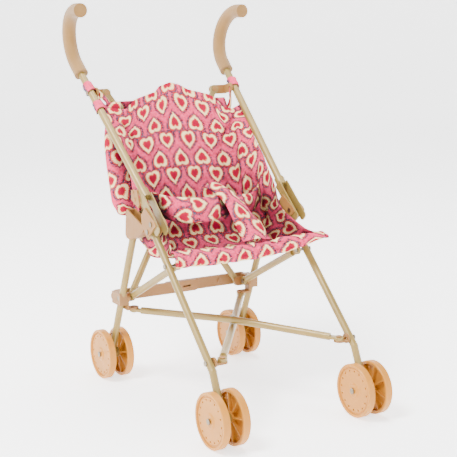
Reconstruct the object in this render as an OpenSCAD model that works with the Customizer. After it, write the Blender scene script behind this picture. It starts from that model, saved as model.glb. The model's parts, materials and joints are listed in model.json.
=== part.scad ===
// Doll stroller with an umbrella fold.
// X is across, +Z is up, the front faces -Y, and the wheels stand on z = 0.

/* [Wheels] */
// Diameter of each wheel
wheel_d = 75; // [70:1:80]
// Width of one wheel disc
wheel_w = 10.7; // [9:0.1:11]
// Gap between the two wheels of a pair
pair_gap = 19; // [18.6:0.1:21]
// Diameter of the steel axles
axle_d = 5; // [4:0.5:6]
// Small round holes in each wheel face
wheel_holes = 16; // [8:1:20]

/* [Frame] */
// Distance from the middle to each leg's plane
leg_x = 114.5; // [112:0.5:118]
// Diameter of the leg, stay and cross tubes
tube_d = 10.4; // [9.6:0.1:10.6]
// Diameter of the handle tubes
handle_d = 11.2; // [10.6:0.1:11.4]
// Slope of the handle tubes above the horizontal, in degrees
handle_slope = 41.4; // [41:0.1:42]
// Outward lean of the handle tubes, in degrees
handle_lean = 3.1; // [2:0.1:4]
// Outward turn of the curved grips, in degrees
grip_turn = 6; // [3:0.5:8]
// Radius of the curved handle's centre line
grip_r = 47; // [44:1:50]
// Diameter of the soft grips
grip_d = 21; // [19:0.5:22]
// Distance of the cross tubes' pins from the middle
cross_x = 94.5; // [94:0.1:95]
// Diameter of the rivets' shanks
rivet_d = 4; // [3:0.5:4]

/* [Seat] */
// Thickness of the seat's soft solids
cloth_t = 4; // [3:0.5:5]
// Half the width of the seat
seat_x = 92; // [86:1:92]

/* [Hidden] */

$fn = 48;
LEFT = -1;
RIGHT = 1;

// Side view pivots are [y, z]. The row's y = 0 is midway between the foremost and rearmost faces.
wheel_r = wheel_d / 2;
tube_r = tube_d / 2;
handle_r = handle_d / 2;
rivet_r = rivet_d / 2;
run_gap = 0.05;
// Step between round surfaces that meet end to end
seam = 0.02;
// At a tube's bend: how much the ball there stands proud, and how far short of its centre the tubes stop
bulge = 0.25;
bend_gap = 1.1;
y_mid = 32.7;
function side(y, z) = [y - y_mid, z];
function unit(a) = [cos(a), sin(a)];
function dist(p, q) = norm(q - p);
function ang(p, q) = atan2(q[1] - p[1], q[0] - p[0]);

knee = side(21.4, 251.3);
stay_front = side(-21.5, 209.8);
rear_pin = side(128, 132.5);
front_pin = side(-132.5, 102.4);
top_pin = side(199.5, 434.5);
hip = side(63.8, 247);
leg_bend = side(-142, 93.1);
front_hub = side(-167, wheel_r);
rear_hub = side(167.7, wheel_r);
rear_top = side(84.3, 237);

// The handle's axis passes knee_off in front of the knee. Its points are t along it and w off it.
knee_off = 19.7;
handle_u = unit(handle_slope);
handle_n = unit(handle_slope + 90);
handle_foot = knee + knee_off * handle_n;
function on_handle(t, w) = handle_foot + t * handle_u + w * handle_n;
slot_end = 53;
collar_l = 8;
grip_lower = 20;
grip_tip = 13;

// Lower cross: its plane passes above the front pins and below the rear pins.
low_front_off = 2;
low_rear_off = -21;
low_rise = low_front_off - low_rear_off;
low_span = sqrt(pow(dist(front_pin, rear_pin), 2) - low_rise * low_rise);
low_slope = ang(front_pin, rear_pin) - asin(low_rise / dist(front_pin, rear_pin));
low_l = norm([low_span, 2 * cross_x]);
low_turn = atan2(low_span, 2 * cross_x);
low_rear = rear_pin + low_rear_off * unit(low_slope + 90);

// Upper cross: its plane passes up_off behind the top and rear pins.
up_off = -13;
up_span = dist(rear_pin, top_pin);
up_slope = ang(rear_pin, top_pin);
up_l = norm([up_span, 2 * cross_x]);
up_turn = atan2(up_span, 2 * cross_x);
up_rear = rear_pin + up_off * unit(up_slope + 90);

bow = 5.7;
tab_t = 2.7;
flat_t = 4;
flat_r = 6.6;
eye_in = 13.6;
eye_out = 16.6;

// Lock strut: two flat halves that overlap behind the rear legs.
lock_pin_x = 112;
lock_z = 131;
lock_h = 17.6;
lock_t = 4.6;
lock_y = side(149.4, 0)[0];

steel = [0.80, 0.75, 0.62];
tan_plastic = [0.86, 0.74, 0.60];
brown_plastic = [0.78, 0.60, 0.48];
wheel_tan = [0.92, 0.78, 0.60];
grip_tan = [0.77, 0.65, 0.50];
rivet_grey = [0.62, 0.60, 0.58];
cloth_pink = [0.93, 0.50, 0.62];

// ---- Helpers ----

module on_side(s) {
    if (s == RIGHT) children();
    else mirror([1, 0, 0]) children();
}

// A flat outline in the side view, from x0 to x1.
module plate(x0, x1) {
    translate([x0, 0, 0]) rotate([90, 0, 90]) linear_extrude(x1 - x0) children();
}

module pin(p, x0, x1, r) {
    translate([x0, p[0], p[1]]) rotate([0, 90, 0]) cylinder(h = x1 - x0, r = r);
}

module spot(p, r) {
    translate(p) circle(r = r);
}

module rod(p, q, r) {
    d = q - p;
    translate(p) rotate([0, acos(d[2] / norm(d)), atan2(d[1], d[0])]) cylinder(h = norm(d), r = r);
}

function at_leg(p) = [leg_x, p[0], p[1]];

// A rivet: its shank and two low domed heads.
module rivet(p, x0, x1, r) {
    head_r = 1.8 * r;
    pin(p, x0, x1, r);
    pin(p, x0 - 1.2, x0, head_r);
    pin(p, x1, x1 + 1.2, head_r);
}

// ---- Legs, axles and wheels ----

module front_leg(s) {
    upper = unit(ang(knee, leg_bend));
    lower = unit(ang(leg_bend, front_hub));
    color(steel) on_side(s) difference() {
        union() {
            pin(knee, leg_x - 5.5, leg_x + 5.5, 6.2);
            rod(at_leg(knee), at_leg(leg_bend - bend_gap * upper), tube_r);
            translate(at_leg(leg_bend)) sphere(r = tube_r + bulge);
            rod(at_leg(leg_bend + bend_gap * lower), at_leg(front_hub), tube_r);
            pin(front_hub, leg_x - 8.6, leg_x + 8.6, 8);
        }
        pin(knee, leg_x - 9, leg_x + 9, rivet_r + run_gap);
        pin(stay_front, leg_x - 9, leg_x + 9, rivet_r);
        pin(front_pin, leg_x - 9, leg_x + 9, rivet_r);
        pin(front_hub, leg_x - 9, leg_x + 9, axle_d / 2);
    }
}

module rear_leg(s) {
    color(steel) on_side(s) difference() {
        union() {
            rod(at_leg(rear_top), at_leg(rear_hub), tube_r);
            pin(rear_hub, leg_x - 8.6, leg_x + 8.6, 8);
        }
        pin(rear_pin, leg_x - 9, leg_x + 9, rivet_r);
        pin(rear_hub, leg_x - 9, leg_x + 9, axle_d / 2);
    }
}

module axle(s, hub) {
    end_x = pair_gap / 2 + wheel_w + 0.4;
    color(rivet_grey) on_side(s) {
        pin(hub, leg_x - end_x, leg_x + end_x, axle_d / 2);
        for (e = [-1, 1]) pin(hub, leg_x + e * (end_x + 0.75) - 0.75, leg_x + e * (end_x + 0.75) + 0.75, 4);
    }
}

// A wheel disc lying on z = 0 with its show face up.
module wheel_disc() {
    rim_in = wheel_r - 4.6;
    bevel = 0.9;
    web_low = wheel_w - 4.2;
    web_top = wheel_w - 1.9;
    hub_r = 7.5;
    rib_t = 1.6;
    difference() {
        union() {
            rotate_extrude($fn = 96) polygon([
                [axle_d / 2 + run_gap, 0.2], [hub_r, 0.2], [hub_r, web_low], [rim_in, web_low],
                [rim_in, bevel], [rim_in + bevel, 0], [wheel_r - bevel, 0], [wheel_r, bevel],
                [wheel_r, wheel_w - bevel], [wheel_r - bevel, wheel_w], [rim_in + 1.4, wheel_w],
                [rim_in + 0.6, wheel_w - 0.7], [rim_in, web_top - 0.7], [rim_in - 1.6, web_top - 0.7],
                [rim_in - 2.2, web_top], [hub_r + 3.4, web_top], [hub_r + 0.8, wheel_w - 0.6],
                [axle_d / 2 + run_gap, wheel_w - 0.6]]);
            for (i = [0:7]) rotate(i * 45 + 11.25) translate([hub_r - 0.8, -rib_t / 2, 1])
                cube([rim_in - hub_r + 1.4, rib_t, web_low - 0.6]);
        }
        for (i = [0:wheel_holes - 1]) rotate(i * 360 / wheel_holes)
            translate([rim_in - 5.2, 0, web_low - 1]) cylinder(h = wheel_w, r = 1.5, $fn = 24);
    }
}

// face is 1 for the outer wheel of a pair and -1 for the inner one.
module wheel(s, hub, face) {
    color(wheel_tan) on_side(s)
        translate([leg_x + face * pair_gap / 2, hub[0], hub[1]]) rotate([0, face * 90, 0]) wheel_disc();
}

// ---- Handles ----

module in_handle(s) {
    start = on_handle(slot_end, 0);
    on_side(s) translate([leg_x, start[0], start[1]]) rotate([handle_slope, 0, 0])
        rotate([0, 0, -handle_lean]) rotate([0, grip_turn, 0]) children();
}

// Straight run from y0 to y1, in the leaned frame whose y is the tube's axis.
module run(y0, y1, r) {
    translate([0, y0, 0]) rotate([-90, 0, 0]) cylinder(h = y1 - y0, r = r);
}

arc_start = 260.4;
arc_sweep = 180 - handle_slope;

// The curved end: an arc that turns up and forward, then a short straight tip.
module crook(r, tip) {
    translate([0, arc_start, grip_r]) {
        rotate([0, 90, 0]) rotate_extrude(angle = arc_sweep) translate([grip_r, 0]) circle(r = r);
        rotate([arc_sweep, 0, 0]) translate([0, 0, -grip_r]) run(0, tip, r - seam);
    }
}

module handle_tube(s) {
    color(steel) in_handle(s) {
        run(-7, arc_start, handle_r);
        crook(handle_r - seam, grip_tip - 1.5);
    }
}

module grip(s) {
    color(grip_tan) in_handle(s) difference() {
        union() {
            run(arc_start - grip_lower, arc_start, grip_d / 2);
            crook(grip_d / 2 - seam, grip_tip);
        }
        run(arc_start - grip_lower - 1, arc_start, handle_r + 2 * seam);
        crook(handle_r + seam, grip_tip - 1.5);
    }
}

// Folded steel channel: a collar on the tube's lower end and two flanges with an open slot.
module channel(s) {
    slot_half = 5.7;
    flange_t = 1.8;
    color(steel) {
        in_handle(s) difference() {
            run(-8, collar_l - 2, handle_r + 1.9);
            run(-9, collar_l, handle_r);
        }
        on_side(s) for (x = [leg_x - slot_half - flange_t, leg_x + slot_half])
            plate(x, x + flange_t) difference() {
                polygon([on_handle(slot_end - 4, 7), on_handle(-17, 7), on_handle(-20, 4),
                    on_handle(-20, -4), on_handle(-17, -7), on_handle(slot_end - 4, -7)]);
                spot(on_handle(0, -3.6), rivet_r);
            }
    }
}

// Plastic cheeks on both sides of the channel, reaching back to the hip pivot.
module knuckle(s) {
    cheek_in = 7.55;
    color(tan_plastic) on_side(s) {
        plate(leg_x - 9, leg_x - cheek_in) difference() {
            union() {
                cheek();
                polygon([knee + [0, -7], hip + [2, -6], hip + [2, 6], on_handle(17, -26)]);
                spot(hip, 6.3);
            }
            knuckle_holes();
            spot(hip, rivet_r);
        }
        plate(leg_x + cheek_in, leg_x + 9.8) difference() {
            cheek();
            knuckle_holes();
        }
    }
}

// The knuckle's outline without its arm to the rear leg's pin.
module cheek() {
    polygon([on_handle(28, 0), on_handle(-4, 7), on_handle(-10, 6), on_handle(-7, -16), knee + [-5, -4],
        knee + [0, -7], knee + [6, -4], on_handle(17, -26), on_handle(28, -16)]);
    spot(knee, 7);
}

module knuckle_holes() {
    spot(knee, rivet_r);
    spot(on_handle(0, -3.6), rivet_r);
}

module link_plate(s) {
    color(tan_plastic) on_side(s) {
        plate(leg_x + 8, leg_x + 10.2) polygon([on_handle(60, 1), on_handle(71, -12),
            on_handle(62, -22), on_handle(40, -15), on_handle(41, -8)]);
        pin(on_handle(66, -10), leg_x + 10.2, leg_x + 11.4, 3);
        pin(on_handle(55, -14), leg_x + 10.2, leg_x + 11.4, 3);
        plate(leg_x + 6, leg_x + 8) polygon([on_handle(62.5, -2), on_handle(67, -7),
            on_handle(64, -10), on_handle(60.5, -6)]);
    }
}

module leg_housing(s) {
    wall = 7.2;
    hollow = 5;
    color(tan_plastic) on_side(s) difference() {
        plate(leg_x - wall, leg_x + wall) polygon([side(91, 273), side(94.5, 269), side(97.5, 236),
            side(94, 231), side(84, 229.5), side(58, 238), side(42, 247), side(40, 252), side(43, 257)]);
        plate(leg_x - hollow, leg_x + hollow) polygon([side(88, 290), side(90.5, 262), side(93.8, 244),
            side(80, 243), side(60, 244), side(50, 250.5), side(47, 262), side(47, 290)]);
        rod(at_leg(rear_top), at_leg(rear_hub), tube_r);
    }
}

// ---- Side stays ----

module stay(s) {
    a = ang(rear_pin, stay_front);
    l = dist(rear_pin, stay_front);
    x = leg_x - (eye_in + eye_out) / 2;
    blank = 13;
    color(steel) on_side(s) difference() {
        union() {
            rod([x, rear_pin[0], rear_pin[1]] + [0, blank * cos(a), blank * sin(a)],
                [x, stay_front[0], stay_front[1]] - [0, blank * cos(a), blank * sin(a)], tube_r);
            for (p = [rear_pin, stay_front]) pin(p, leg_x - eye_out, leg_x - eye_in, flat_r);
            plate(leg_x - eye_out, leg_x - eye_in) translate(rear_pin) rotate(a)
                translate([0, -4.8]) square([l, 9.6]);
        }
        for (p = [rear_pin, stay_front]) pin(p, leg_x - 30, leg_x, rivet_r + run_gap);
    }
}

// ---- Cross tubes and their brackets ----

// A tube along +X from one pin to the other, flattened at both ends and bowed at the middle.
module cross_tube(l, rise) {
    blank = 13;
    half = l / 2;
    difference() {
        union() {
            for (m = [0, 1]) translate([m * l, 0, 0]) mirror([m, 0, 0]) {
                translate([0, 0, -flat_t / 2]) cylinder(h = flat_t, r = flat_r);
                translate([0, -4.3, -flat_t / 2]) cube([blank + 3, 8.6, flat_t]);
                rod([blank, 0, rise * blank / half], [half - bend_gap, 0, rise], tube_r);
            }
            translate([half, 0, rise]) sphere(r = tube_r + bulge);
        }
        for (m = [0, 1]) translate([m * l, 0, -9]) cylinder(h = 18, r = rivet_r + run_gap);
        translate([half, 0, -20]) cylinder(h = 40, r = rivet_r + run_gap);
    }
}

module in_plane(p, slope) {
    translate([0, p[0], p[1]]) rotate([slope, 0, 0]) children();
}

module lower_tube(s, rise) {
    color(steel) on_side(s) in_plane(low_rear, low_slope)
        translate([cross_x, 0, 0]) rotate(180 + low_turn) cross_tube(low_l, rise);
}

module upper_tube(s, rise) {
    color(steel) on_side(s) in_plane(up_rear, up_slope)
        translate([cross_x, 0, 0]) rotate(180 - up_turn) cross_tube(up_l, rise);
}

// The crossing's rivet and the washer between the tubes.
module cross_rivet(p, slope, span) {
    head = bow + tube_r + bulge;
    color(rivet_grey) in_plane(p, slope) translate([0, span, 0]) {
        translate([0, 0, -head]) cylinder(h = 2 * head, r = rivet_r);
        for (z = [-head - 1.2, head]) translate([0, 0, z]) cylinder(h = 1.2, r = 3.6);
    }
}

// Side plate on the leg's pin, and a tab beside the cross tube's flattened end.
// off is the tube's height off the pin, and under is 1 for a tab below the tube, -1 above it.
module bracket(s, p, slope, hub_out, hub_in, off, under) {
    tab = off - under * (flat_t / 2 + 0.3);
    low = min(tab, tab - under * tab_t);
    foot_x = leg_x - hub_out;
    color(tan_plastic) on_side(s) in_plane(p, slope) difference() {
        union() {
            translate([leg_x - hub_in, 0, 0]) rotate([0, 90, 0]) cylinder(h = hub_in - hub_out, r = 7);
            translate([leg_x - hub_in, -7, min(0, low)])
                cube([hub_in - hub_out, 14, max(0, low + tab_t) - min(0, low)]);
            translate([cross_x, 0, low]) cylinder(h = tab_t, r = 7);
            translate([cross_x, -7, low]) cube([foot_x - cross_x, 14, tab_t]);
            translate([cross_x, 0, min(low, off - flat_t / 2 - 0.6)])
                cylinder(h = tab_t + flat_t + 0.9, r = rivet_r);
            translate([cross_x, 0, off + under * (flat_t / 2 + 0.3 + 0.6) - 0.6])
                cylinder(h = 1.2, r = 3.8);
        }
        rotate([0, 90, 0]) cylinder(h = 200, r = rivet_r + run_gap);
    }
}

// ---- Rear lock strut ----

// half is -1 for the left half and 1 for the right one.
module lock_half(half) {
    y = half == LEFT ? lock_y : lock_y + lock_t + 0.4;
    lap = 22;
    color(brown_plastic) difference() {
        union() {
            translate([half == LEFT ? -lock_pin_x : -lap, y, lock_z - lock_h / 2])
                cube([lock_pin_x + lap, lock_t, lock_h]);
            for (x = [half * lock_pin_x, -half * lap]) translate([x, y, lock_z])
                rotate([-90, 0, 0]) cylinder(h = lock_t, r = lock_h / 2);
            if (half == RIGHT) translate([70, y - 2.2, lock_z]) rotate([-90, 0, 0]) cylinder(h = 2.4, r = 4);
        }
        translate([half * lock_pin_x, y - 9, lock_z]) rotate([-90, 0, 0])
            cylinder(h = 30, r = rivet_r + run_gap);
        translate([-half * 8 - 7, y - 9, lock_z - 1.5]) cube([14, 30, 3]);
    }
}

// Block on the back of the leg with the strut's pin.
module lock_mount(s) {
    back = lock_y - 0.3;
    pin_end = lock_y + 2 * lock_t + 1;
    color(brown_plastic) on_side(s) {
        difference() {
            translate([leg_x - tube_r - 2, side(121, 0)[0], lock_z - 9])
                cube([2 * tube_r + 2 + 1.5, back - side(121, 0)[0], 18]);
            rod(at_leg(rear_top), at_leg(rear_hub), tube_r);
            translate([leg_x - 20, side(110, 0)[0], 0]) cube([20 - tube_r - 0.1, 27, 300]);
            pin(rear_pin, leg_x - 6, leg_x + 9, 3.8);
        }
        translate([lock_pin_x, back - 1, lock_z]) rotate([-90, 0, 0])
            cylinder(h = pin_end - back + 1, r = rivet_r);
        translate([lock_pin_x, pin_end, lock_z]) rotate([-90, 0, 0]) cylinder(h = 1.2, r = 3.6);
    }
}

// ---- Rivets ----

module leg_rivets(s) {
    color(rivet_grey) on_side(s) {
        rivet(stay_front, leg_x - eye_out - 0.3, leg_x + tube_r, rivet_r);
        pin(front_pin, leg_x - tube_r, leg_x + tube_r, rivet_r);
        pin(front_pin, leg_x + tube_r, leg_x + tube_r + 1.2, 3.6);
    }
}

module knuckle_rivets(s) {
    cheek = [-9, 9.8];
    stack = on_handle(0, -3.6);
    color(rivet_grey) on_side(s) {
        pin(knee, leg_x + cheek[0], leg_x + cheek[1], rivet_r);
        for (x = [[cheek[0], -5.7], [5.7, cheek[1]]]) pin(stack, leg_x + x[0], leg_x + x[1], rivet_r);
        pin(hip, leg_x + cheek[0], leg_x - 7.55, rivet_r);
        for (p = [knee, stack, hip]) pin(p, leg_x + cheek[0] - 0.6, leg_x + cheek[0], 3.6);
        for (p = [knee, stack]) pin(p, leg_x + cheek[1], leg_x + cheek[1] + 1.2, 3.6);
        pin(top_pin, leg_x + 16.8, leg_x + 18, 3.6);
    }
}

module rear_rivets(s) {
    color(rivet_grey) on_side(s) {
        rivet(rear_pin, leg_x - eye_out - 0.3, leg_x + tube_r, rivet_r);
    }
}

// ---- Soft parts, as simple solids ----

module seat_back() {
    top = 446;
    color(cloth_pink) plate(-seat_x, seat_x) polygon([side(96, 216), side(96 + cloth_t, 215),
        side(188 + cloth_t, top - 14), side(188, top - 12), side(150, 360)]);
}

module seat_base() {
    color(cloth_pink) {
        plate(-seat_x, seat_x) polygon([side(-34, 222), side(-36, 217), side(20, 203),
            side(94, 208), side(94, 213), side(20, 208)]);
        for (x = [-seat_x, seat_x - cloth_t / 2]) plate(x, x + cloth_t / 2)
            polygon([side(-34, 222), side(20, 207), side(94, 212), side(94, 250), side(20, 262)]);
    }
}

module seat_belt() {
    half = seat_x - 10;
    steps = 12;
    front = [for (i = [0:steps]) let (x = half * (2 * i / steps - 1)) [x, 14 + 34 * pow(x / half, 2)]];
    back = [for (i = [steps:-1:0]) front[i] + [0, 3]];
    color(cloth_pink) translate([0, -y_mid, 264]) linear_extrude(24) polygon(concat(front, back));
}

// An open pocket behind the seat's back, in front of the upper cross tubes.
module back_bag() {
    wall = 2;
    half = 100;
    color(cloth_pink) difference() {
        plate(-half, half) polygon([side(174.6, 388), side(188.4, 388), side(158.5, 262), side(152, 256),
            side(136, 256), side(122, 264)]);
        plate(wall - half, half - wall) polygon([side(160, 390), side(186.9, 390), side(156.6, 263),
            side(151, 258), side(137, 258), side(124, 264.5), side(100, 264.5)]);
    }
}

// ---- Nodes ----

front_leg(LEFT);  // front_leg_left
front_leg(RIGHT);  // front_leg_right
axle(LEFT, front_hub);  // front_axle_left
axle(RIGHT, front_hub);  // front_axle_right
wheel(LEFT, front_hub, 1);  // front_wheel_left_outer
wheel(LEFT, front_hub, -1);  // front_wheel_left_inner
wheel(RIGHT, front_hub, -1);  // front_wheel_right_inner
wheel(RIGHT, front_hub, 1);  // front_wheel_right_outer
rear_leg(LEFT);  // rear_leg_left
rear_leg(RIGHT);  // rear_leg_right
axle(LEFT, rear_hub);  // rear_axle_left
axle(RIGHT, rear_hub);  // rear_axle_right
wheel(LEFT, rear_hub, 1);  // rear_wheel_left_outer
wheel(LEFT, rear_hub, -1);  // rear_wheel_left_inner
wheel(RIGHT, rear_hub, -1);  // rear_wheel_right_inner
wheel(RIGHT, rear_hub, 1);  // rear_wheel_right_outer
handle_tube(LEFT);  // handle_tube_left
handle_tube(RIGHT);  // handle_tube_right
grip(LEFT);  // grip_left
grip(RIGHT);  // grip_right
channel(LEFT);  // channel_left
channel(RIGHT);  // channel_right
knuckle(LEFT);  // knuckle_left
knuckle(RIGHT);  // knuckle_right
link_plate(LEFT);  // link_plate_left
link_plate(RIGHT);  // link_plate_right
leg_housing(LEFT);  // leg_housing_left
leg_housing(RIGHT);  // leg_housing_right
stay(LEFT);  // stay_left
stay(RIGHT);  // stay_right
bracket(LEFT, rear_pin, low_slope, 5.6, 8.4, low_rear_off, -1);  // lower_rear_bracket_left
bracket(RIGHT, rear_pin, low_slope, 5.6, 8.4, low_rear_off, -1);  // lower_rear_bracket_right
bracket(LEFT, rear_pin, up_slope, 8.8, 11, up_off, -1);  // upper_rear_bracket_left
bracket(RIGHT, rear_pin, up_slope, 8.8, 11, up_off, -1);  // upper_rear_bracket_right
bracket(LEFT, front_pin, low_slope, 5.6, 8.4, low_front_off, 1);  // front_bracket_left
bracket(RIGHT, front_pin, low_slope, 5.6, 8.4, low_front_off, 1);  // front_bracket_right
bracket(LEFT, top_pin, up_slope, -3.6, -0.8, up_off, 1);  // top_bracket_left
bracket(RIGHT, top_pin, up_slope, -3.6, -0.8, up_off, 1);  // top_bracket_right
lower_tube(LEFT, bow);  // lower_cross_tube_a
lower_tube(RIGHT, -bow);  // lower_cross_tube_b
upper_tube(LEFT, bow);  // upper_cross_tube_a
upper_tube(RIGHT, -bow);  // upper_cross_tube_b
cross_rivet(low_rear, low_slope, -low_span / 2);  // lower_cross_rivet
cross_rivet(up_rear, up_slope, up_span / 2);  // upper_cross_rivet
lock_half(LEFT);  // lock_strut_left
lock_half(RIGHT);  // lock_strut_right
lock_mount(LEFT);  // lock_mount_left
lock_mount(RIGHT);  // lock_mount_right
leg_rivets(LEFT);  // leg_rivets_left
leg_rivets(RIGHT);  // leg_rivets_right
knuckle_rivets(LEFT);  // knuckle_rivets_left
knuckle_rivets(RIGHT);  // knuckle_rivets_right
rear_rivets(LEFT);  // rear_rivets_left
rear_rivets(RIGHT);  // rear_rivets_right
seat_back();
seat_base();
seat_belt();
back_bag();
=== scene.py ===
import json
import math

import bpy
import numpy as np
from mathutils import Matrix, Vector, noise


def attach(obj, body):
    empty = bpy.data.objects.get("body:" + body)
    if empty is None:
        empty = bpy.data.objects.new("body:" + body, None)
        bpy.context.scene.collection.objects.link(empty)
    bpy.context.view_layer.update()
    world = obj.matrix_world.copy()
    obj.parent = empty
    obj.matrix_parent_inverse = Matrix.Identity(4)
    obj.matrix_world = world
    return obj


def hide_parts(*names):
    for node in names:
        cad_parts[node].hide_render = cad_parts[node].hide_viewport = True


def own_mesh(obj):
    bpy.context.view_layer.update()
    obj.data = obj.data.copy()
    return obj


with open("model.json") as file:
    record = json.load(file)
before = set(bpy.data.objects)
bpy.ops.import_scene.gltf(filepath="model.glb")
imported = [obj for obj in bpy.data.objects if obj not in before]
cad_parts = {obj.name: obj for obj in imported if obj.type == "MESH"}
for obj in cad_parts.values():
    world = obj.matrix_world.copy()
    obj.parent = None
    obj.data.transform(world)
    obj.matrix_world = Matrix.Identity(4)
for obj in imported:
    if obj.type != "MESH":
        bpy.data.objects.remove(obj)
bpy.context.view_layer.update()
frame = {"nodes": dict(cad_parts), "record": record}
record = frame["record"]
Y_MID = 32.7  # mm from the row frame's y = 0 to the side view's, where the soft pieces are drawn
MM = 1000  # mm in a metre


# ---------------------------------------------------------------- shader helpers


def linear(rgb):
    """An 0-255 colour as linear RGBA."""
    out = []
    for v in rgb:
        c = v / 255
        out.append(c / 12.92 if c <= 0.04045 else ((c + 0.055) / 1.055) ** 2.4)
    return (*out, 1.0)


class Nodes:
    """A short way to write a material's nodes."""

    def __init__(self, name):
        self.mat = bpy.data.materials.new(name)
        self.mat.use_nodes = True
        self.tree = self.mat.node_tree
        self.tree.nodes.clear()
        out = self.tree.nodes.new("ShaderNodeOutputMaterial")
        self.shader = self.tree.nodes.new("ShaderNodeBsdfPrincipled")
        self.tree.links.new(self.shader.outputs[0], out.inputs[0])

    def set(self, **values):
        for key, v in values.items():
            self.shader.inputs[key.replace("_", " ")].default_value = v

    def put(self, socket, value):
        if isinstance(value, bpy.types.NodeSocket):
            self.tree.links.new(value, socket)
        else:
            socket.default_value = value

    def math(self, op, a, b=0.0, clamp=False):
        n = self.tree.nodes.new("ShaderNodeMath")
        n.operation = op
        n.use_clamp = clamp
        self.put(n.inputs[0], a)
        self.put(n.inputs[1], b)
        return n.outputs[0]

    def noise(self, vector, scale, detail=2.0, rough=0.5):
        n = self.tree.nodes.new("ShaderNodeTexNoise")
        self.put(n.inputs["Vector"], vector)
        n.inputs["Scale"].default_value = scale
        n.inputs["Detail"].default_value = detail
        n.inputs["Roughness"].default_value = rough
        return n.outputs

    def wave(self, vector, scale, axis, distortion=0.0):
        n = self.tree.nodes.new("ShaderNodeTexWave")
        n.bands_direction = axis
        self.put(n.inputs["Vector"], vector)
        n.inputs["Scale"].default_value = scale
        n.inputs["Distortion"].default_value = distortion
        return n.outputs["Fac"]

    def mix(self, fac, a, b):
        n = self.tree.nodes.new("ShaderNodeMix")
        n.data_type = "RGBA"
        self.put(n.inputs[0], fac)
        self.put(n.inputs[6], a)
        self.put(n.inputs[7], b)
        return n.outputs[2]

    def span(self, value, low, high, to_low=0.0, to_high=1.0):
        n = self.tree.nodes.new("ShaderNodeMapRange")
        n.clamp = True
        self.put(n.inputs[0], value)
        for i, v in zip((1, 2, 3, 4), (low, high, to_low, to_high)):
            n.inputs[i].default_value = v
        return n.outputs[0]

    def coords(self, kind="Object"):
        return self.tree.nodes.new("ShaderNodeTexCoord").outputs[kind]

    def split(self, vector):
        n = self.tree.nodes.new("ShaderNodeSeparateXYZ")
        self.put(n.inputs[0], vector)
        return n.outputs

    def bump(self, height, strength, distance):
        n = self.tree.nodes.new("ShaderNodeBump")
        n.inputs["Strength"].default_value = strength
        n.inputs["Distance"].default_value = distance
        self.put(n.inputs["Height"], height)
        self.tree.links.new(n.outputs[0], self.shader.inputs["Normal"])

    def edges(self, radius=0.0012):
        """1 along sharp convex edges."""
        n = self.tree.nodes.new("ShaderNodeBevel")
        n.samples = 4
        n.inputs["Radius"].default_value = radius
        g = self.tree.nodes.new("ShaderNodeNewGeometry")
        dot = self.tree.nodes.new("ShaderNodeVectorMath")
        dot.operation = "DOT_PRODUCT"
        self.tree.links.new(n.outputs[0], dot.inputs[0])
        self.tree.links.new(g.outputs["Normal"], dot.inputs[1])
        return self.span(dot.outputs["Value"], 0.97, 0.80)


def moulded(name, rgb, rough, grain, edge_rgb):
    """Moulded plastic: faint mottling, fine grain and rubbed edges."""
    n = Nodes(name)
    p = n.coords()
    cloud = n.noise(p, 22, 3)["Fac"]
    base = n.mix(n.span(cloud, 0.35, 0.7), linear(rgb), linear([c * 0.945 for c in rgb]))
    rubbed = n.math("MULTIPLY", n.edges(), 0.45)
    n.put(n.shader.inputs["Base Color"], n.mix(rubbed, base, linear(edge_rgb)))
    gloss = n.noise(p, 90, 4)["Fac"]
    n.put(n.shader.inputs["Roughness"], n.span(gloss, 0.3, 0.7, rough - 0.05, rough + 0.07))
    n.set(IOR=1.45, Specular_IOR_Level=0.35)
    n.set(Subsurface_Weight=0.05, Subsurface_Radius=(0.004, 0.002, 0.001), Subsurface_Scale=1.0)
    n.bump(n.noise(p, 1400, 3)["Fac"], grain, 0.0004)
    return n.mat


def painted(name, rgb):
    """Satin paint on drawn tube: orange peel, fine flake and worn edges."""
    n = Nodes(name)
    p = n.coords()
    flake = n.noise(p, 2600, 2)["Fac"]
    base = n.mix(n.span(flake, 0.45, 0.75), linear(rgb), linear([min(255, c * 1.08) for c in rgb]))
    shade = n.mix(n.span(n.noise(p, 14, 2)["Fac"], 0.35, 0.7), base, linear([c * 0.93 for c in rgb]))
    worn = n.math("MULTIPLY", n.edges(), 0.5)
    n.put(n.shader.inputs["Base Color"], n.mix(worn, shade, linear((178, 154, 92))))
    n.put(n.shader.inputs["Roughness"], n.span(n.noise(p, 60, 4)["Fac"], 0.3, 0.7, 0.30, 0.42))
    n.set(Metallic=0.15, IOR=1.45, Coat_Weight=0.12, Coat_Roughness=0.25)
    n.bump(n.noise(p, 420, 2)["Fac"], 0.10, 0.0004)
    return n.mat


def foam(name, rgb):
    """Dense foam sleeve with tiny pores and a soft sheen."""
    n = Nodes(name)
    p = n.coords()
    pores = n.tree.nodes.new("ShaderNodeTexVoronoi")
    n.put(pores.inputs["Vector"], p)
    pores.inputs["Scale"].default_value = 900
    base = n.mix(n.span(n.noise(p, 30, 4)["Fac"], 0.35, 0.7), linear(rgb), linear([c * 0.90 for c in rgb]))
    speck = n.math("MULTIPLY", n.span(pores.outputs["Distance"], 0.0, 0.35, 1, 0), 0.35)
    n.put(n.shader.inputs["Base Color"], n.mix(speck, base, linear([c * 0.78 for c in rgb])))
    n.put(n.shader.inputs["Roughness"], n.span(n.noise(p, 70, 2)["Fac"], 0.3, 0.7, 0.72, 0.88))
    n.set(Sheen_Weight=0.25, Sheen_Roughness=0.5, IOR=1.4)
    n.bump(pores.outputs["Distance"], 0.35, 0.0005)
    return n.mat


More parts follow.
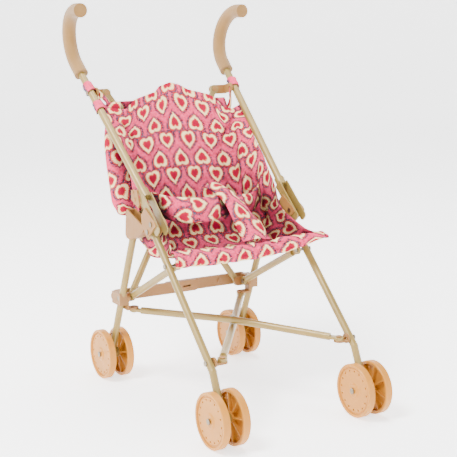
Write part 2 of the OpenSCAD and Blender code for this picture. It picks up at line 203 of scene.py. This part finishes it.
def plated(name):
    """Dull plated steel with small stains."""
    n = Nodes(name)
    p = n.coords()
    stain = n.noise(p, 240, 4)["Fac"]
    n.put(n.shader.inputs["Base Color"], n.mix(stain, linear((104, 94, 80)), linear((150, 138, 118))))
    n.put(n.shader.inputs["Roughness"], n.span(n.noise(p, 320, 3)["Fac"], 0.3, 0.7, 0.24, 0.46))
    n.set(Metallic=1.0)
    n.bump(n.noise(p, 900, 2)["Fac"], 0.12, 0.0003)
    return n.mat


# The print's linear colours, and its grid: hearts PITCH_U apart in rows PITCH_V apart, in metres.
PINK = (0.80, 0.070, 0.165, 1)
ROSE = (0.66, 0.036, 0.105, 1)
CORAL = (0.52, 0.014, 0.026, 1)
SLATE = (0.022, 0.070, 0.105, 1)
MAUVE = (0.050, 0.012, 0.030, 1)
CREAM = (0.96, 0.74, 0.36, 1)
PEACH = (0.70, 0.10, 0.05, 1)
CRIMSON = (0.36, 0.0008, 0.030, 1)
PLUM = (0.09, 0.001, 0.012, 1)
PITCH_U, PITCH_V = 0.0370, 0.0282
OUTER_HEART, CORE_HEART = 0.0110, 0.0056  # half widths, in metres
HEART_RISE, HEART_MID = 0.74, 0.32  # how far the lobes stand up, and where the middle sits


def heart(n, x, y, size):
    """About the distance in metres outside a heart of that half width, notched above and pointed below."""
    ax = n.math("DIVIDE", n.math("ABSOLUTE", x), size)
    ay = n.math("ADD", n.math("DIVIDE", y, size), HEART_MID)
    ay = n.math("SUBTRACT", ay, n.math("MULTIPLY", n.math("SQRT", ax), HEART_RISE))
    far = n.math("SQRT", n.math("ADD", n.math("MULTIPLY", ax, ax), n.math("MULTIPLY", ay, ay)))
    return n.math("MULTIPLY", n.math("SUBTRACT", far, 1.0), size)


def hearts(n, u, v, size):
    """The nearest heart of two staggered grids: one upright, one upside down."""
    found = []
    for shift, way in ((0.0, 1.0), (0.5, -1.0)):
        x = n.math("FRACT", n.math("ADD", n.math("DIVIDE", u, PITCH_U), shift))
        x = n.math("MULTIPLY", n.math("SUBTRACT", x, 0.5), PITCH_U)
        y = n.math("FRACT", n.math("ADD", n.math("DIVIDE", v, 2 * PITCH_V), shift))
        y = n.math("MULTIPLY", n.math("SUBTRACT", y, 0.5), 2 * PITCH_V * way)
        found.append(heart(n, x, y, size))
    return n.math("MINIMUM", *found)


def printed(name):
    """Plain-weave cotton with rows of ringed hearts, upright and inverted in turn, with painted shade
    darkening its hollows. UVs are in metres.
    """
    n = Nodes(name)
    uv = n.coords("UV")
    # Fine wobble makes the edges ragged, and slow drift keeps the rows from being ruled.
    raw = n.split(uv)
    wob = n.split(n.noise(uv, 640, 3, 0.75)["Color"])
    drift = n.split(n.noise(uv, 40, 2, 0.5)["Color"])
    place = []
    for axis in (0, 1):
        p = n.math("ADD", raw[axis], n.math("MULTIPLY", n.math("SUBTRACT", wob[axis], 0.5), 0.0075))
        place.append(n.math("ADD", p, n.math("MULTIPLY", n.math("SUBTRACT", drift[axis], 0.5), 0.006)))
    outer = hearts(n, *place, OUTER_HEART)
    core = hearts(n, *place, CORE_HEART)
    # From the ground inwards: blush, a speckled grey ring, coral, cream, peach, then the core.
    dots = n.noise(uv, 760, 2, 0.7)["Fac"]
    ring = n.math("ADD", outer, n.math("MULTIPLY", dots, 0.0040))
    ground = n.mix(n.span(n.noise(uv, 260, 3)["Fac"], 0.40, 0.62), PINK, ROSE)
    blush = n.mix(n.span(n.noise(uv, 150, 2)["Fac"], 0.50, 0.54), ground, CORAL)
    grey = n.mix(n.span(n.noise(uv, 330, 2)["Fac"], 0.50, 0.54), SLATE, MAUVE)
    grey = n.mix(n.span(n.noise(uv, 480, 1)["Fac"], 0.58, 0.62), grey, PINK)
    colour = n.mix(n.span(ring, 0.0086, 0.0076), ground, blush)
    colour = n.mix(n.span(ring, 0.0074, 0.0066), colour, grey)
    colour = n.mix(n.span(ring, 0.0044, 0.0038), colour, CORAL)
    colour = n.mix(n.span(outer, 0.0006, -0.0004), colour, CREAM)
    colour = n.mix(n.span(core, 0.0020, 0.0012), colour, PEACH)
    colour = n.mix(n.span(core, 0.0008, -0.0002), colour, CRIMSON)
    flecks = n.math("MULTIPLY", n.span(dots, 0.60, 0.66), n.span(core, 0.0, -0.001))
    colour = n.mix(flecks, colour, PLUM)
    # The weave darkens the print, and painted shade from an occlusion node darkens it further in the
    # cloth's hollows.
    weave = n.math("MULTIPLY", n.wave(uv, 340, "X"), n.wave(uv, 340, "Y"))
    dark = n.tree.nodes.new("ShaderNodeVectorMath")
    dark.operation = "SCALE"
    n.put(dark.inputs[0], colour)
    # Painted shade: the occlusion node darkens the print's colour where the cloth is hollow or shut in, as
    # shade would.
    depth = n.tree.nodes.new("ShaderNodeAmbientOcclusion")
    depth.samples = 4
    depth.inputs["Distance"].default_value = 0.14
    painted_hollow_shade = n.span(depth.outputs["AO"], 0.27, 0.80, 0.08, 1.0)
    n.put(dark.inputs["Scale"], n.math("MULTIPLY", n.span(weave, 0.0, 1.0, 0.86, 1.0), painted_hollow_shade))
    n.put(n.shader.inputs["Base Color"], dark.outputs[0])
    n.set(Roughness=0.9, Sheen_Weight=0.02, Sheen_Roughness=0.5, IOR=1.3, Specular_IOR_Level=0.12)
    crease = n.math("MULTIPLY", n.noise(uv, 75, 4, 0.6)["Fac"], 2.2)
    n.bump(n.math("ADD", n.math("MULTIPLY", weave, 0.25), crease), 0.45, 0.0014)
    return n.mat


paint = painted("champagne_paint", (137, 113, 56))
plastic = moulded("tan_plastic", (142, 99, 50), 0.46, 0.10, (184, 140, 84))
lock_plastic = moulded("lock_plastic", (142, 102, 58), 0.46, 0.12, (178, 134, 86))
wheel_plastic = moulded("wheel_plastic", (182, 119, 36), 0.40, 0.06, (208, 152, 70))
grip_foam = foam("grip_foam", (134, 98, 48))
steel = plated("plated_steel")
cloth = printed("printed_cotton")

BY_SLOT = {
    "frame_paint": paint,
    "bracket_plastic": plastic,
    "lock_plastic": lock_plastic,
    "wheel_plastic": wheel_plastic,
    "grip_foam": grip_foam,
    "rivet_steel": steel,
    "printed_cloth": cloth,
}
for part in record["subparts"]:
    mesh = frame["nodes"][part["node"]].data
    mesh.materials.clear()
    mesh.materials.append(BY_SLOT[part["material_slot"]])


# ---------------------------------------------------------------- surfaces


def spline(points, count):
    """Catmull-Rom through the points, spaced evenly along the control polygon."""
    p = np.asarray(points, float)
    step = np.linalg.norm(np.diff(p, axis=0), axis=1)
    s = np.concatenate([[0], np.cumsum(np.maximum(step, 1e-9))])
    want = np.linspace(0, s[-1], count)
    i = np.clip(np.searchsorted(s, want, side="right") - 1, 0, len(p) - 2)
    t = ((want - s[i]) / (s[i + 1] - s[i]))[:, None]
    a, b, c, d = p[np.maximum(i - 1, 0)], p[i], p[i + 1], p[np.minimum(i + 2, len(p) - 1)]
    return 0.5 * (2 * b + (c - a) * t + (2 * a - 5 * b + 4 * c - d) * t**2 + (3 * b - a - 3 * c + d) * t**3)


def loft(rows, nu, nv):
    """A grid of nv by nu points through rows of control points."""
    across = np.array([spline(r, nu) for r in rows])
    return np.stack([spline(across[:, k], nv) for k in range(nu)], axis=1)


def normals(grid):
    """Unit normals at a grid's points."""
    du = np.gradient(grid, axis=1)
    dv = np.gradient(grid, axis=0)
    n = np.cross(du, dv)
    return n / np.maximum(np.linalg.norm(n, axis=2, keepdims=True), 1e-9)


def wrinkle(grid, seed, broad, fine):
    """Moves the grid along its normals by soft noise, in mm."""
    n = normals(grid)
    out = grid.copy()
    for j in range(grid.shape[0]):
        for i in range(grid.shape[1]):
            p = Vector(grid[j, i])
            a = noise.noise(p * 0.028 + Vector((seed, 0, 0)))
            b = noise.noise(p * 0.085 + Vector((0, seed, 0)))
            out[j, i] += n[j, i] * (a * broad + b * fine)
    return out


def arc_uv(grid):
    """UVs in metres: across each row from its middle, and down the middle third."""
    u = np.linalg.norm(np.diff(grid, axis=1), axis=2) / MM
    across = np.concatenate([np.zeros((len(grid), 1)), np.cumsum(u, axis=1)], axis=1)
    across -= across[:, [grid.shape[1] // 2]]
    third = grid.shape[1] // 3
    v = np.linalg.norm(np.diff(grid, axis=0), axis=2)[:, third : 2 * third + 1].mean(1) / MM
    return across, -np.concatenate([[0], np.cumsum(v)])


def cloth_piece(name, grid, thick, uv_shift=(0.0, 0.0), uv_scale=1.0):
    """A closed thin shell on a grid of points in the side view's mm, its print moved and scaled."""
    grid = np.asarray(grid, float)
    nv, nu = grid.shape[:2]
    n = normals(grid)
    faces = []
    verts = np.concatenate([(grid + n * thick / 2).reshape(-1, 3), (grid - n * thick / 2).reshape(-1, 3)])
    back = nv * nu
    uu, vv = arc_uv(grid)
    for j in range(nv - 1):
        for i in range(nu - 1):
            a = j * nu + i
            b, c, d = a + 1, a + nu + 1, a + nu
            faces.append((a, d, c, b))
            faces.append((back + a, back + b, back + c, back + d))
    rim = list(range(nu)) + [j * nu + nu - 1 for j in range(1, nv)]
    rim += [(nv - 1) * nu + i for i in range(nu - 2, -1, -1)] + [j * nu for j in range(nv - 2, 0, -1)]
    for a, b in zip(rim, rim[1:] + rim[:1]):
        faces.append((a, b, back + b, back + a))
    verts[:, 1] -= Y_MID
    mesh = bpy.data.meshes.new(name)
    mesh.from_pydata((verts / MM).tolist(), [], faces)
    layer = mesh.uv_layers.new(name="UVMap")
    for loop in mesh.loops:
        k = loop.vertex_index % back
        u, v = uu[k // nu, k % nu] * uv_scale, vv[k // nu] * uv_scale
        layer.data[loop.index].uv = (u + uv_shift[0], v + uv_shift[1])
    for f in mesh.polygons:
        f.use_smooth = True
    obj = bpy.data.objects.new(name, mesh)
    bpy.context.scene.collection.objects.link(obj)
    mesh.materials.append(cloth)
    mesh.update()
    return obj


def dress(obj, stands_for=()):
    """Rides on the left handle with its own mesh, and hides the CAD parts it stands for."""
    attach(obj, "handle_left")
    if stands_for:
        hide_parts(*stands_for)
    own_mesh(obj)


# ---------------------------------------------------------------- the sling seat

# Rows from the top edge down the back, over the seat and round the front edge.
# Each row is (rail x, y, z), (corner x, y, z), (middle y, z) for the right half, and the left mirrors it.
PROFILE = [
    ((120, 176, 410), (80, 181, 424), (190, 434)),
    ((118, 160, 396), (82, 171, 398), (178, 406)),
    ((115, 132, 372), (84, 160, 368), (167, 376)),
    ((112, 104, 348), (86, 149, 338), (154, 344)),
    ((109, 76, 322), (88, 138, 308), (141, 310)),
    ((105, 50, 296), (89, 126, 278), (128, 278)),
    ((102, 34, 274), (90, 113, 248), (115, 248)),
    ((102, 24, 262), (91, 99, 222), (100, 221)),
    ((102, 14, 252), (92, 78, 211), (78, 209)),
    ((103, 2, 242), (94, 46, 209), (46, 205)),
    ((104, -9, 234), (97, 12, 213), (14, 206)),
    ((106, -18, 229), (101, -12, 224), (-8, 217)),
    ((107, -26, 228), (104, -24, 230), (-22, 227)),
    ((108, -34, 224), (106, -34, 226), (-33, 224)),
    ((108, -38, 216), (106, -38, 216), (-37, 214)),
    ((107, -34, 210), (105, -33, 209), (-32, 207)),
]


def sling_rows():
    """PROFILE's rows as eleven control points each, from the left rail to the right one."""
    rows = []
    for rail, corner, (my, mz) in PROFILE:
        cx, cy, cz = corner
        wall = 0.5 * (np.array(rail) + np.array(corner))
        wall[0] += 3
        inner = np.array([cx * 0.62, (cy + my) / 2, (cz + mz) / 2])
        half = [np.array(rail), wall, np.array(corner), inner, np.array([cx * 0.3, my, mz])]
        left = [p * np.array([-1, 1, 1]) for p in half]
        rows.append(left + [np.array([0, my, mz])] + half[::-1])
    return rows


def top_edge(x):
    """Height of the back's top edge at x, in mm."""
    xs = [-130, -109, -81, -72, -61, -50, -24, -14, 5, 19, 33, 65, 77, 81, 87, 105, 120, 130]
    zs = [417, 411, 409, 415, 423, 426, 432, 441, 446, 442, 435, 427, 421, 413, 406, 403, 408, 418]
    return np.interp(x, xs, zs)


def shape_top(grid, reach):
    """Lifts the top edge to top_edge, fading out over the first reach rows."""
    rise = np.array([top_edge(x) for x in grid[0, :, 0]]) - grid[0, :, 2]
    for j in range(reach):
        w = 1 - j / reach
        w = w * w * (3 - 2 * w)
        grid[j, :, 2] += rise * w
        grid[j, :, 1] += rise * w * 0.38
    return grid


def flare(grid):
    """Pulls the front edge's right end forward and up into a thin ear."""
    for j in range(len(grid)):
        front = np.clip((30 - grid[j, :, 1]) / 55, 0, 1)
        right = np.clip((grid[j, :, 0] - 20) / 88, 0, 1) ** 2 * front
        grid[j, :, 0] += 6 * right
        grid[j, :, 1] -= 36 * right
        grid[j, :, 2] += right * (13 + 13 * np.clip((226 - grid[j, :, 2]) / 16, 0, 1))
    return grid


def crease(grid, lines, seed):
    """Soft folds along lines: two ends in the grid's own u and v from 0 to 1, then depth and width."""
    n = normals(grid)
    nv, nu = grid.shape[:2]
    u, v = np.meshgrid(np.linspace(0, 1, nu), np.linspace(0, 1, nv))
    push = np.zeros((nv, nu))
    for (u0, v0), (u1, v1), depth, width in lines:
        along = np.array([u1 - u0, v1 - v0])
        length = np.linalg.norm(along)
        along /= length
        t = (u - u0) * along[0] + (v - v0) * along[1]
        w = (u - u0) * along[1] - (v - v0) * along[0] + 0.006 * np.sin(t * 26 + seed)
        fade = np.clip(np.minimum(t, length - t) / (0.25 * length) + 0.15, 0, 1)
        push += depth * fade * np.exp(-((w / width) ** 2))
    return grid + n * push[:, :, None]


# Folds fan out from the knees and the top corners, and gather along the front edge.
FOLDS = [((0.03, 0.02), (0.27, 0.22), 4.5, 0.012), ((0.06, 0.02), (0.24, 0.42), -5.0, 0.013),
         ((0.05, 0.34), (0.25, 0.50), 4.0, 0.011), ((0.04, 0.50), (0.24, 0.58), -4.0, 0.010),
         ((0.10, 0.46), (0.30, 0.62), 4.0, 0.010), ((0.08, 0.62), (0.26, 0.72), 4.5, 0.010),
         ((0.97, 0.02), (0.76, 0.24), 4.0, 0.012), ((0.95, 0.10), (0.79, 0.46), -4.0, 0.012),
         ((0.95, 0.40), (0.76, 0.54), 4.0, 0.011), ((0.94, 0.58), (0.72, 0.66), 4.5, 0.011),
         ((0.30, 0.50), (0.70, 0.52), 2.5, 0.012), ((0.24, 0.60), (0.46, 0.72), -3.0, 0.012),
         ((0.06, 0.82), (0.30, 0.90), 3.0, 0.010), ((0.93, 0.80), (0.62, 0.90), 3.0, 0.010)]
FOLDS += [((0.08 + 0.07 * k, 0.93), (0.13 + 0.07 * k, 1.0), 2.2 - 0.9 * (k % 3), 0.010)
          for k in range(12)]
FOLDS += [((0.04, 0.935), (0.97, 0.945), 1.9, 0.006), ((0.05, 0.965), (0.96, 0.955), -1.8, 0.006),
          ((0.10, 0.985), (0.95, 0.975), 1.6, 0.006)]
grid = flare(shape_top(loft(sling_rows(), 161, 190), 38))
grid = wrinkle(crease(grid, FOLDS, 0.7), 3.1, 2.6, 1.4)
sling = cloth_piece("seat_sling", grid, 1.2)
dress(sling, stands_for=("seat_back", "seat_base"))

# ---------------------------------------------------------------- bag, belt and straps

# Rows down the bag, each as (x, y) of its front corner, outer front edge, outer back edge, back corner
# and middle, then its height.
BAG = [
    ((84, 186), (98, 190), (100, 198), (70, 202), (0, 203), 419),
    ((85, 176), (104, 180), (107, 190), (72, 194), (0, 193), 392),
    ((86, 162), (107, 168), (111, 181), (72, 184), (0, 182), 350),
    ((87, 146), (107, 156), (111, 172), (72, 174), (0, 171), 306),
    ((88, 132), (106, 142), (110, 160), (72, 164), (0, 161), 270),
    ((88, 126), (104, 134), (107, 146), (70, 148), (0, 148), 257),
    ((88, 124), (98, 128), (98, 132), (66, 132), (0, 132), 256),
]
rows = []
for a, b, c, d, m, z in BAG:
    half = [np.array([*p, z]) for p in (a, b, c, d)]
    rows.append([p * np.array([-1, 1, 1]) for p in half] + [np.array([*m, z])] + half[::-1])
bag_grid = wrinkle(loft(rows, 90, 60), 7.7, 1.6, 0.8)
bag = cloth_piece("back_pocket", bag_grid, 1.2, (0.011, 0.007))
dress(bag, stands_for=("back_bag",))


def ribbon(name, path, widths, bend=0.0, seed=1.0, count=60, shift=(0.0, 0.0), rough=1.0):
    """A strap along path, with vectors of its whole width across it at each path point, in mm."""
    mid = spline(path, count)
    side = spline(widths, count)
    cols = 13
    g = np.zeros((count, cols, 3))
    n = np.cross(np.gradient(mid, axis=0), side)
    n /= np.linalg.norm(n, axis=1, keepdims=True)
    for i in range(cols):
        w = i / (cols - 1) - 0.5
        g[:, i] = mid + side * w + n * bend * (1 - 4 * w * w)
    g = wrinkle(g, seed, rough, 0.75 * rough)
    return cloth_piece(name, g, 1.6, shift), g


belt, belt_grid = ribbon(
    "waist_belt",
    [(-95, 58, 284), (-86, 22, 281), (-62, 6, 279), (-30, 12, 277),
     (0, 24, 279), (34, 34, 276), (66, 50, 274), (93, 76, 280)],
    [(0, 4, 32), (-2, 8, 35), (-2, 12, 34), (0, 12, 31), (0, 12, 27), (0, 12, 25), (0, 8, 26), (0, 2, 27)],
    3.0, 4.0, shift=(0.01, 0.0), rough=2.4,
)
dress(belt, stands_for=("seat_belt",))

strap, strap_grid = ribbon(
    "crotch_strap",
    [(2, 56, 300), (6, 34, 294), (14, 12, 278), (22, -2, 257), (28, -14, 239), (30, -22, 230)],
    [(30, 0, -2), (32, 2, -4), (36, 4, -6), (38, 4, -6), (44, 2, -4), (50, 0, -2)],
    7.0, 9.0, shift=(0.004, 0.012), rough=2.6,
)
dress(strap)

# ---------------------------------------------------------------- loops round the tubes


HANDLE_FOOT = (114.5, 8.4, 266.1)  # the right tube's lower end
HANDLE_SLOPE, HANDLE_LEAN = math.radians(41.4), math.radians(3.1)
LEAN_FROM = 53  # mm up the tube where it starts to lean outwards


def on_handle(side, t):
    """A point on a handle tube's axis, t mm up from its lower end. side is -1 or 1."""
    out = max(0.0, t - LEAN_FROM) * math.tan(HANDLE_LEAN)
    y = HANDLE_FOOT[1] + t * math.cos(HANDLE_SLOPE)
    z = HANDLE_FOOT[2] + t * math.sin(HANDLE_SLOPE)
    return np.array([side * (HANDLE_FOOT[0] + out), y, z])


def tube_loop(name, side, t0, t1, radius, seed):
    """A gathered band of cloth round a handle tube."""
    along = on_handle(side, t1) - on_handle(side, t0)
    length = np.linalg.norm(along)
    along /= length
    across = np.cross(along, (1, 0, 0))
    across /= np.linalg.norm(across)
    third = np.cross(along, across)
    nu, nv = 61, 15
    g = np.zeros((nv, nu, 3))
    for j in range(nv):
        t = j / (nv - 1)
        for i in range(nu):
            a = 2 * math.pi * 0.985 * i / (nu - 1) + 0.4
            r = radius + 0.5 * math.sin(3 * a + seed) + 0.45 * math.sin(t * 9 + 2 * a + seed)
            r += 0.9 * abs(t - 0.5)
            g[j, i] = on_handle(side, t0) + along * length * (t + 0.06 * math.sin(2 * a + seed))
            g[j, i] += r * (math.cos(a) * across + math.sin(a) * third)
    return cloth_piece(name, g, 1.0, (PITCH_U / 2, 0.002), 0.25), g


# Two loops on the left tube and one on the right: side, number, and where each starts and ends.
LOOPS = [(-1, "left", 0, 254, 271), (-1, "left", 1, 216, 231), (1, "right", 0, 254, 271)]
for side, tag, k, t0, t1 in LOOPS:
    loop, loop_grid = tube_loop(f"tube_loop_{tag}_{k}", side, t0, t1, 6.9, 1.3 + k + side)
    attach(loop, f"handle_{tag}")

# The tapes that tie the back's top corners to the loops.
TAPES = {
    "tape_left_outer": ([(-121, 203, 438), (-112, 184, 414), (-100, 180, 404), (-88, 178, 402)], 12.0),
    "tape_right_inner": ([(120, 203, 438), (112, 190, 418), (108, 186, 408), (102, 184, 398)], 12.0),
    "tape_right_outer": ([(124, 201, 436), (121, 180, 416), (121, 170, 406), (119, 160, 396)], 12.0),
    "tape_left_inner": ([(-120, 206, 441), (-112, 196, 430), (-104, 194, 422), (-98, 192, 412)], 11.0),
}
for k, (name, (path, width)) in enumerate(TAPES.items()):
    across = [(0, width * 0.5, width * 0.85)] * len(path)
    tape, tape_grid = ribbon(name, path, across, 0.8, 2.0 + k, 26, (0.013 * k, 0.01))
    dress(tape)

# ---------------------------------------------------------------- floor, lights and camera

# The floor is a shallow bowl whose rim rises far behind the stroller: radius and height, in metres.
BOWL = [(0.0, 0.0), (3.0, 0.0), (5.0, 0.0), (6.0, 0.15), (6.9, 0.75), (7.4, 1.7), (7.6, 3.2), (7.6, 5.0)]
turns = 72
rings = [(r * math.cos(2 * math.pi * k / turns), r * math.sin(2 * math.pi * k / turns), z)
         for r, z in BOWL[1:] for k in range(turns)]
faces = [(0, 1 + k, 1 + (k + 1) % turns) for k in range(turns)]
for j in range(len(BOWL) - 2):
    for k in range(turns):
        a, b = 1 + j * turns + k, 1 + j * turns + (k + 1) % turns
        faces.append((a, a + turns, b + turns, b))
bowl = bpy.data.meshes.new("floor")
bowl.from_pydata([(0, 0, 0)] + rings, [], faces)
for f in bowl.polygons:
    f.use_smooth = True
floor = bpy.data.objects.new("floor", bowl)
bpy.context.scene.collection.objects.link(floor)
floor_mat = Nodes("pale_floor")
cloud = floor_mat.noise(floor_mat.coords(), 3, 2)["Fac"]
pale = floor_mat.mix(cloud, linear((250, 250, 250)), linear((253, 253, 253)))
floor_mat.put(floor_mat.shader.inputs["Base Color"], pale)
floor_mat.set(Roughness=0.9, Emission_Color=(1, 1, 1, 1), Emission_Strength=1.7)
bowl.materials.append(floor_mat.mat)

world = bpy.data.worlds.new("studio")
world.use_nodes = True
sky = world.node_tree.nodes["Background"].inputs
sky[0].default_value = (1, 1, 1, 1)
sky[1].default_value = 0.5
bpy.context.scene.world = world


def area_light(name, place, target, size, power):
    """A round light of that diameter in metres and power in watts, aimed at target."""
    data = bpy.data.lights.new(name, "AREA")
    data.shape = "DISK"
    data.size = size
    data.energy = power
    obj = bpy.data.objects.new(name, data)
    obj.location = place
    obj.rotation_mode = "QUATERNION"
    obj.rotation_quaternion = (Vector(target) - Vector(place)).to_track_quat("-Z", "Y")
    bpy.context.scene.collection.objects.link(obj)


area_light("key", (-1.3, -0.2, 2.2), (0, 0.05, 0.25), 0.9, 120)
area_light("top", (0.5, 0.5, 2.5), (0, 0, 0.2), 1.5, 70)

camera = bpy.data.cameras.new("camera")
camera.lens = 86.65
camera.sensor_width = 36
camera.clip_start = 0.05
camera.clip_end = 50
eye = bpy.data.objects.new("camera", camera)
eye.location = (-0.79875, -1.35495, 0.54375)
eye.rotation_mode = "QUATERNION"
eye.rotation_quaternion = Vector((0.5052, 0.8422, -0.1881)).to_track_quat("-Z", "Y")
bpy.context.scene.collection.objects.link(eye)
bpy.context.scene.camera = eye
